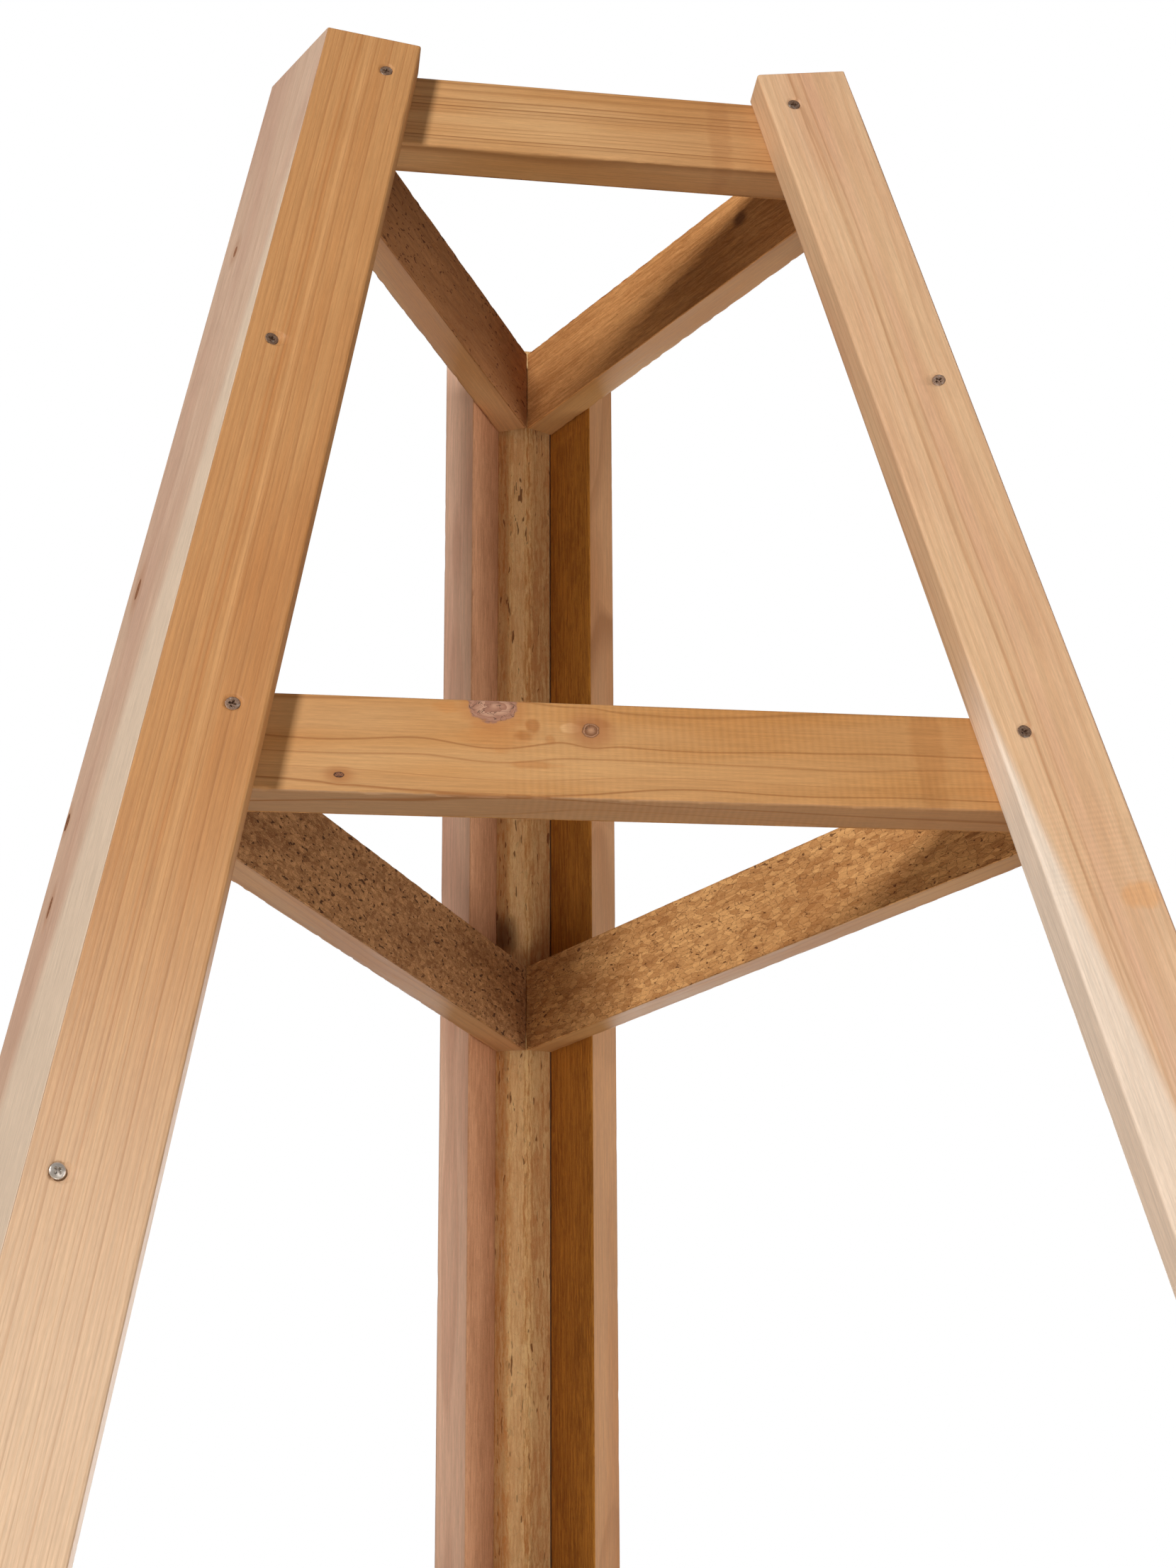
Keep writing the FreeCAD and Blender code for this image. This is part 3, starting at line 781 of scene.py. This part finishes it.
for order, (node, (leg, face, hand)) in enumerate(SIDE_BOARDS.items()):
    place = side_place(leg, face, hand)
    axes = place[1]
    level_foot = (-axes[0][2] / axes[2][2], -axes[1][2] / axes[2][2])
    outline, inward, sides, travelled = section_ring(
        side_corners, [MITRE_EDGE, EASED, EASED, 0.0012], [0.005, PLAIN_STEP, 0.008, 0.006],
        {0: [CORNER_SCREW_ACROSS, RAIL_SCREW_ACROSS]})
    if hand < 0:
        outline = outline[::-1] * (-1, 1)
        inward = inward[::-1] * (-1, 1)
        sides = sides[::-1]
        travelled = travelled[::-1]
    rail_seats, corner_seats = screw_seats(place, face, hand)
    seats = rail_seats + corner_seats

    def side_relief(side, travelled, along, seed=300 + 40 * order, seats=seats, hand=hand):
        """Countersinks in the outer face, and small dents along the rounded edges."""
        holes = countersinks(seats, hand * travelled, along, seed)
        dents = np.clip(smooth_noise(seed + 30, travelled, along, 0.004, 0.012) - 0.8, 0, 1) * 0.0018
        return np.where(side == 0, holes, np.where(side == -1, dents, 0.0))

    screw_rows = [seat[0][2] for seat in seats]
    piece = board(f"{node}_cedar", place, (outline, inward, sides, travelled),
                  board_rows(LEG_LENGTH, 0.005, screw_rows), level_foot, (0, 0), side_relief)
    piece.data.materials.append(cedar(f"{node}_grain", place, top=LEG_TOP, **SIDE_LOOKS[node]))
    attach(piece, "root")
    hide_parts(node)

# ------------------------ rails
# Three cedar rails at each level tie the legs together. They lie on the inner faces of
# the side boards, smooth outside and rough from the saw inside. Their ends are cut
# parallel to the legs and stop just short of the corner boards.
RAIL_THICKNESS = 0.026
RAIL_END_GAP = 0.0005
end_setback = max(0.0, (RAIL_THICKNESS * math.cos(CORNER_HALF) + RAIL_END_GAP / 2
                        - CORNER_BOARD_WIDTH / 2 + SETBACK) / math.sin(CORNER_HALF))


def rail_half(level, rise):
    """Half the length of a rail at a rise above its lower edge, up the face."""
    height = rail_feet[level] + (rise + BOARD_THICKNESS * LEAN) / FACE_STRETCH
    face_reach = BASE_REACH - LEAN * height
    corner_reach = ARRIS_REACH + SETBACK + end_setback
    return math.sqrt(3) * face_reach - corner_reach * LEG_STRETCH / FACE_STRETCH


def rail_place(face, level):
    """Frame of a rail: the middle of its outer face's lower edge, and rows that point up
    the face, outward and along the rail."""
    outward = heading(FACE_HEADINGS[face])
    normal = face_normal(face)
    across = np.cross(UP, outward)
    reach = BASE_REACH - LEAN * rail_feet[level] - BOARD_THICKNESS * FACE_STRETCH
    origin = AXIS_FOOT + outward * reach + UP * rail_feet[level]
    return origin, np.array([np.cross(normal, across), normal, across])


RAIL_ROUGH_AT = (-RAIL_THICKNESS + 0.0018, -RAIL_THICKNESS + 0.0013)
HONEY = ((198, 151, 99), (149, 95, 48), (191, 136, 78))
TAN = ((202, 154, 108), (146, 96, 56), (194, 138, 88))
RAIL_LOOKS = dict(
    front_rail_1=dict(
        wood=((206, 160, 109), (141, 90, 47), (193, 140, 85)),
        pith=(-0.16, -0.05), spacing=0.0048, wave=0.0022, line=0.85, late_from=0.55,
        # Painted shadow: a dark band across the face near the right end.
        stains_and_shadows=[((0.045, 0.092), (0.08, 0.010), 0.35, (158, 104, 62))],
        # Painted shade: the rail grows darker towards its right end.
        fade=dict(start=-0.05, end=0.10, strength=0.4, colour=(180, 122, 70)),
        rough=ROUGH,
    ),
    front_rail_2=dict(
        wood=HONEY, pith=(0.105, -0.075), spacing=0.0100, wave=0.012, line=0.9, late_from=0.82,
        # Painted shade: the rail grows darker towards its right end.
        fade=dict(start=-0.12, end=0.16, strength=0.35, colour=(184, 122, 62)),
        knots=[
            dict(KNOT, at=(0.0594, -0.080), radius=0.0115, long=1.15, halo=1.9,
                 pale=(182, 138, 112), dark=(152, 106, 84), stain=0.45, rings=2.3,
                 stain_colour=(172, 108, 56), crack=0.7),
            dict(KNOT, at=(0.045, -0.0241), radius=0.0048, long=1.1, halo=3.6, crack=0.4,
                 pale=(176, 130, 96), dark=(122, 78, 48), stain=0.75, rings=1.3,
                 stain_colour=(162, 104, 60)),
            dict(KNOT, at=(0.0109, -0.168), radius=0.0020, long=1.5, stain=0.55, halo=4.0),
        ],
        stains_and_shadows=[
            # Painted shadow: a dark band across the face near the right end.
            ((0.045, 0.176), (0.08, 0.012), 0.45, (160, 106, 58)),
            ((0.040, -0.078), (0.013, 0.026), 0.4, (184, 116, 54)),
            ((0.047, -0.058), (0.006, 0.005), 0.65, (160, 98, 46)),
            ((0.040, -0.063), (0.005, 0.007), 0.6, (164, 102, 48)),
            ((0.038, -0.048), (0.004, 0.004), 0.45, (166, 104, 50)),
            ((0.046, -0.036), (0.004, 0.007), 0.4, (240, 196, 142)),
            ((0.050, -0.022), (0.004, 0.012), 0.5, (150, 90, 42)),
            ((0.021, -0.058), (0.003, 0.018), 0.45, (176, 110, 52)),
            ((0.058, -0.108), (0.006, 0.009), 0.4, (186, 118, 56)),
            ((0.0, 0.0), (0.0012, 0.6), 0.55, (160, 130, 104)),
        ],
        chatter=dict(pitch=0.0045, start=(-0.09, -0.05), end=(0.30, 0.24)),
        rough=ROUGH,
    ),
    right_rail_1=dict(
        wood=HONEY, pith=(-0.10, -0.04), spacing=0.0026, wave=0.002, line=0.5,
        knots=[dict(KNOT, at=(0.0415, -0.0883), radius=0.0036, rough=True, push=1.5)],
        rough=dict(ROUGH, light=(226, 164, 102), dark=(164, 104, 52), lines=1.0,
                   chipped=0.0, seams=0.12, pits_from=0.80, strand=0.55, flake=0.1,
                   speck=0.25),
    ),
    left_rail_1=dict(
        wood=TAN, pith=(-0.10, -0.04), spacing=0.0026, wave=0.002, line=0.5,
        rough=dict(ROUGH, light=(190, 134, 86), dark=(140, 88, 48), deep=(84, 42, 18),
                   chipped=0.0, seams=0.1, pits_from=0.66, flake=0.08, strand=0.35, speck=0.2,
                   pits=(520, 520, 200)),
    ),
    right_rail_2=dict(
        wood=HONEY, pith=(0.10, -0.06), spacing=0.004, line=0.5,
        rough=dict(ROUGH, light=(228, 174, 112), dark=(164, 108, 58), flake=0.4,
                   chip_from=0.60, chipped=0.4, chip_colour=(158, 104, 58),
                   deep=(88, 46, 20), seams=0.8, pits=(420, 420, 190), pits_from=0.68),
    ),
    left_rail_2=dict(
        wood=TAN, pith=(0.10, -0.06), spacing=0.004, line=0.5,
        rough=dict(ROUGH, light=(206, 154, 104), dark=(128, 82, 46), lines=0.2,
                   flake=0.4, speck=0.5, pits_from=0.63, chipped=0.1, seams=0.5,
                   deep=(62, 32, 12), cells=(420, 420, 230), pits=(380, 380, 170)),
    ),
)
for level in (3, 4):
    for face in FACE_HEADINGS:
        RAIL_LOOKS[f"{face}_rail_{level}"] = dict(
            wood=HONEY if (level + len(face)) % 2 else TAN, rough=ROUGH,
            pith=(-0.09 + 0.012 * level * len(face), -0.05), spacing=0.003 + 0.0004 * level)
for face in FACE_HEADINGS:
    for level in range(RAIL_LEVELS):
        node = f"{face}_rail_{level + 1}"
        low_half = rail_half(level, 0)
        narrowing = (rail_half(level, RAIL_HEIGHT) - low_half) / RAIL_HEIGHT
        origin, axes = rail_place(face, level)
        start = (origin - axes[2] * low_half, axes)
        ring = section_ring(
            [(0, -RAIL_THICKNESS), (RAIL_HEIGHT, -RAIL_THICKNESS), (RAIL_HEIGHT, 0), (0, 0)],
            [0.0007, 0.0007, EASED, EASED], [0.0014, PLAIN_STEP, 0.006, PLAIN_STEP])

        def rail_relief(side, travelled, along, seed=700 + 50 * level + 7 * len(face)):
            """Rough on the inner face, ragged along its two edges, plain elsewhere, and
            full at both ends so that neighbours meet."""
            near_end = np.clip(np.minimum(along, along.max() - along) / 0.004, 0, 1)
            rough = near_end * torn_saw_face(seed, side, travelled, along, 0.0006, 0.00045)
            uneven = smooth_noise(seed + 9, along, travelled * 0, 0.006, 1)
            ragged = 0.0012 * np.clip(uneven - 0.45, 0, 1)
            edge = (side == -1) & ((travelled > 0.05) | (travelled < 0.001))
            return np.where(side == 0, rough, np.where(edge, ragged, 0.0))

        piece = board(f"{node}_cedar", start, ring, board_rows(2 * low_half, ROUGH_ROW),
                      (-narrowing, 0), (narrowing, 0), rail_relief)
        piece.data.materials.append(
            cedar(f"{node}_grain", (origin, axes), rough_at=RAIL_ROUGH_AT, **RAIL_LOOKS[node]))
        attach(piece, "root")
        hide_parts(node)

# ------------------------ screws
# Deck screws of bronze-coated steel with a cross recess in a countersunk head. The rail
# screws go straight through a side board into a rail. The corner screws lean 20 degrees
# and go into the corner board.
SCREW_LENGTH = 0.041
SCREW_SHANK = 0.0042
THREAD_PITCH = 0.0032
THREAD_DEPTH = 0.0007
THREAD_START = 0.012
RECESS_DEPTH = 0.0016
RECESS_HALF_SLOT = 0.00068
RECESS_REACH = 0.0023
PROUD_HEIGHT = 0.0018
DOME_HEIGHT = 0.0009
SCREW_TURNS = 40


def screw_points(head, inward, spin, proud):
    """Points of one screw on a grid of rows down its axis by turns round it. The head is a
    flat disc with a cross sunk into it, then a cone of 45 degrees, and the shank is a
    cylinder whose radius swells once in each pitch as the thread winds down, then a
    point. A proud head stands higher and is domed."""
    angle = np.arange(SCREW_TURNS) / SCREW_TURNS * 2 * math.pi
    disc = np.array([0.15, 0.35, 0.55, 0.8, 1.1, 1.5, 1.9, 2.15, 2.4, 2.9, 3.5, 3.95]) / 1000
    rim = np.array([4.12, 4.2, 4.2]) / 1000
    rim_depth = np.array([0.05, 0.15, 0.3]) / 1000
    shank = np.linspace(0.0021, SCREW_LENGTH - 0.004, 46)
    cone = np.array([0.0012, 0.0021])
    down = np.concatenate([np.zeros(len(disc)), rim_depth, cone, shank[1:],
                           [SCREW_LENGTH - 0.002, SCREW_LENGTH]])
    body = np.concatenate([disc, rim, SCREW_HEAD / 2 - cone + 0.0003 * np.array([1, 0]),
                           np.full(len(shank) - 1, SCREW_SHANK / 2), [0.0011, 0.0002]])
    grid_radius = np.repeat(body[:, None], SCREW_TURNS, axis=1)
    grid_down = np.repeat(down[:, None], SCREW_TURNS, axis=1)
    wound = (grid_down / THREAD_PITCH - angle[None] / (2 * math.pi)) % 1.0
    ridge = np.clip(1 - np.abs(wound - 0.5) / 0.16, 0, 1) * THREAD_DEPTH
    threaded = (grid_down > THREAD_START) & (grid_down < SCREW_LENGTH - 0.001)
    core = np.minimum(grid_radius, SCREW_SHANK / 2 - THREAD_DEPTH)
    grid_radius = np.where(threaded, core + ridge, grid_radius)
    x = grid_radius * np.cos(angle)
    y = grid_radius * np.sin(angle)
    narrow = np.minimum(np.abs(x), np.abs(y))
    wide = np.maximum(np.abs(x), np.abs(y))
    slot = (np.clip((RECESS_HALF_SLOT - narrow) / 0.0002, 0, 1)
            * np.clip((RECESS_REACH - wide) / 0.0004, 0, 1))
    is_disc = (np.arange(len(body)) < len(disc))[:, None]
    cross = np.where(is_disc, slot * RECESS_DEPTH, 0.0)
    dome = DOME_HEIGHT * np.clip(1 - (grid_radius / (SCREW_HEAD / 2)) ** 2, 0, 1) * proud
    grid_down = grid_down + cross - np.where(is_disc, dome, 0.0) - PROUD_HEIGHT * proud
    side = np.cross(inward, UP)
    side = side / np.linalg.norm(side)
    other = np.cross(side, inward)
    first = side * math.cos(spin) + other * math.sin(spin)
    second = other * math.cos(spin) - side * math.sin(spin)
    points = head + x[..., None] * first + y[..., None] * second + grid_down[..., None] * inward
    return points[::-1]


def bronze(name):
    """Dark bronze coat, worn to bright steel in patches, and bright all over where the
    bare_steel attribute is 1."""
    material, shader = new_material(name)
    tree = material.node_tree
    local = Term(tree.nodes.new("ShaderNodeTexCoord").outputs["Object"])
    wear = noise(local, (420, 420, 420), 3.0, 0.6)
    grit = noise(local, (1900, 1900, 1900), 2.0, 0.6)
    coat = tint(ease(grit, 0.3, 0.7), (104, 78, 62), (158, 128, 106))
    bare = tree.nodes.new("ShaderNodeAttribute")
    bare.attribute_name = "bare_steel"
    worn = ease(wear, 0.55, 0.72, 0.0, 0.6) + Term(bare.outputs["Fac"])
    worn = reckon("MINIMUM", worn, 1.0)
    give(shader.inputs["Base Color"], tint(worn, coat, (196, 186, 176)))
    give(shader.inputs["Roughness"], ease(worn, 0.0, 1.0, 0.48, 0.26))
    emboss(shader, grit, 0.25, 0.0001)
    shader.inputs["Metallic"].default_value = 0.55
    return material


def screw_group(name, node, seats):
    """All the screws of one kind as one piece. Each seat is a head, an inward direction
    and how proud its head stands, 0 or 1."""
    spins = np.random.default_rng(5).random(len(seats)) * math.pi / 2
    verts, quads, triangles, bare = [], [], [], []
    count = 0
    for (head, inward, proud), spin in zip(seats, spins):
        points, four, three = skin(name, screw_points(head, inward, spin, proud))
        verts.append(points)
        quads.append(four + count)
        triangles.append(three + count)
        bare.append(np.full(len(points), float(proud)))
        count += len(points)
    piece = mesh_object(name, np.concatenate(verts), np.concatenate(quads), np.concatenate(triangles))
    attribute = piece.data.attributes.new("bare_steel", "FLOAT", "POINT")
    attribute.data.foreach_set("value", np.concatenate(bare).astype(np.float32))
    piece.data.materials.append(bronze(f"{name}_coat"))
    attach(piece, "root")
    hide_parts(node)


rail_seats = []
corner_seats = []
PROUD_SCREW = ("left_leg_front_board", 2)
for node, (leg, face, hand) in SIDE_BOARDS.items():
    place = side_place(leg, face, hand)
    origin, axes = place
    for group, seats in zip((rail_seats, corner_seats), screw_seats(place, face, hand)):
        for number, (head, inward) in enumerate(seats):
            proud = 1 if group is corner_seats and (node, number) == PROUD_SCREW else 0
            group.append((origin + head @ axes, inward @ axes, proud))
screw_group("rail_screws_bronze", "rail_screws", rail_seats)
screw_group("corner_screws_bronze", "corner_screws", corner_seats)

# ------------------------ floor, light, camera
# A pale floor and a white backdrop, a key light from the left front, weaker soft boxes all
# round and a small low one that lifts the shade under the rails, and a camera that looks
# up at the front of the obelisk.
FLOOR_SIZE = 30.0
FLOOR_DROP = 0.0005
FLOOR_GLOW = 0.72
AMBIENT = 0.05
# Name, place, target, power in watts, width in metres and, if narrow, beam in degrees.
SOFT_BOXES = [
    ("key_light", (-1.55, -2.65, 2.25), (0.0, -0.1, 1.35), 74, 0.45),
    ("low_fill", (0.0, -0.80, 0.08), (0.0, 0.12, 1.3), 2.0, 0.5, 100),
    ("front_fill", (1.5, -2.2, 1.0), (0.0, 0.0, 1.2), 10, 1.2),
    ("right_fill", (2.4, -0.6, 1.0), (0.0, 0.0, 1.2), 24, 1.5),
    ("left_fill", (-2.4, -1.0, 1.0), (0.0, 0.0, 1.2), 9, 1.5),
    ("back_fill", (0.5, 3.0, 1.4), (0.0, 0.0, 1.0), 60, 1.5),
    ("top_fill", (0.0, 0.3, 4.2), (0.0, 0.0, 1.0), 13, 2.5),
]
floor_mesh = bpy.data.meshes.new("floor")
half = FLOOR_SIZE / 2
floor_corners = [(-half, -half), (half, -half), (half, half), (-half, half)]
floor_mesh.from_pydata([(x, y, -FLOOR_DROP) for x, y in floor_corners], [], [(0, 1, 2, 3)])
floor = bpy.data.objects.new("floor", floor_mesh)
bpy.context.scene.collection.objects.link(floor)
floor_paint, floor_shader = new_material("floor_paint")
floor_shader.inputs["Base Color"].default_value = paint(198, 188, 168)
floor_shader.inputs["Roughness"].default_value = 0.9
floor_shader.inputs["Specular IOR Level"].default_value = 0.1
floor_shader.inputs["Emission Color"].default_value = (1.0, 1.0, 1.0, 1.0)
floor_seen = floor_paint.node_tree.nodes.new("ShaderNodeLightPath")
floor_glow = Term(floor_seen.outputs["Is Camera Ray"]) * FLOOR_GLOW
give(floor_shader.inputs["Emission Strength"], floor_glow)
floor_mesh.materials.append(floor_paint)

world = bpy.data.worlds.new("studio")
bpy.context.scene.world = world
world.use_nodes = True
sky = world.node_tree
backdrop = sky.nodes["Background"]
backdrop.inputs["Color"].default_value = (1.0, 1.0, 1.0, 1.0)
seen = sky.nodes.new("ShaderNodeLightPath")
strength = sky.nodes.new("ShaderNodeMapRange")
sky.links.new(seen.outputs["Is Camera Ray"], strength.inputs["Value"])
strength.inputs["To Min"].default_value = AMBIENT
strength.inputs["To Max"].default_value = 1.0
sky.links.new(strength.outputs["Result"], backdrop.inputs["Strength"])


def soft_box(name, place, target, power, width, beam=180):
    """Square area light turned to a target."""
    light = bpy.data.lights.new(name, "AREA")
    light.energy = power
    light.size = width
    light.spread = math.radians(beam)
    made = bpy.data.objects.new(name, light)
    bpy.context.scene.collection.objects.link(made)
    back = np.array(place) - np.array(target)
    back = back / np.linalg.norm(back)
    right = np.cross(UP, back)
    right = right / np.linalg.norm(right)
    turn = np.stack([right, np.cross(back, right), back], axis=1)
    made.matrix_world = Matrix.Translation(place) @ Matrix(turn.tolist()).to_4x4()


for box in SOFT_BOXES:
    soft_box(*box)

CAMERA_PLACE = (-0.2199, -1.4037, 0.7802)
CAMERA_YAW = -0.1739
CAMERA_PITCH = 0.4116
CAMERA_ROLL = 0.0398
FOCAL_LENGTH = 49.185
lens = bpy.data.cameras.new("camera")
lens.sensor_width = 36.0
lens.sensor_fit = "AUTO"
lens.lens = FOCAL_LENGTH
lens.clip_start = 0.01
camera = bpy.data.objects.new("camera", lens)
bpy.context.scene.collection.objects.link(camera)
turned = (Matrix.Rotation(CAMERA_YAW, 3, "Z") @ Matrix.Rotation(CAMERA_PITCH, 3, "X")
          @ Matrix.Rotation(CAMERA_ROLL, 3, "Y"))
looking = Matrix.Rotation(math.pi / 2, 3, "X")
camera.matrix_world = Matrix.Translation(CAMERA_PLACE) @ (turned @ looking).to_4x4()
bpy.context.scene.camera = camera
bpy.context.scene.view_settings.view_transform = "Standard"
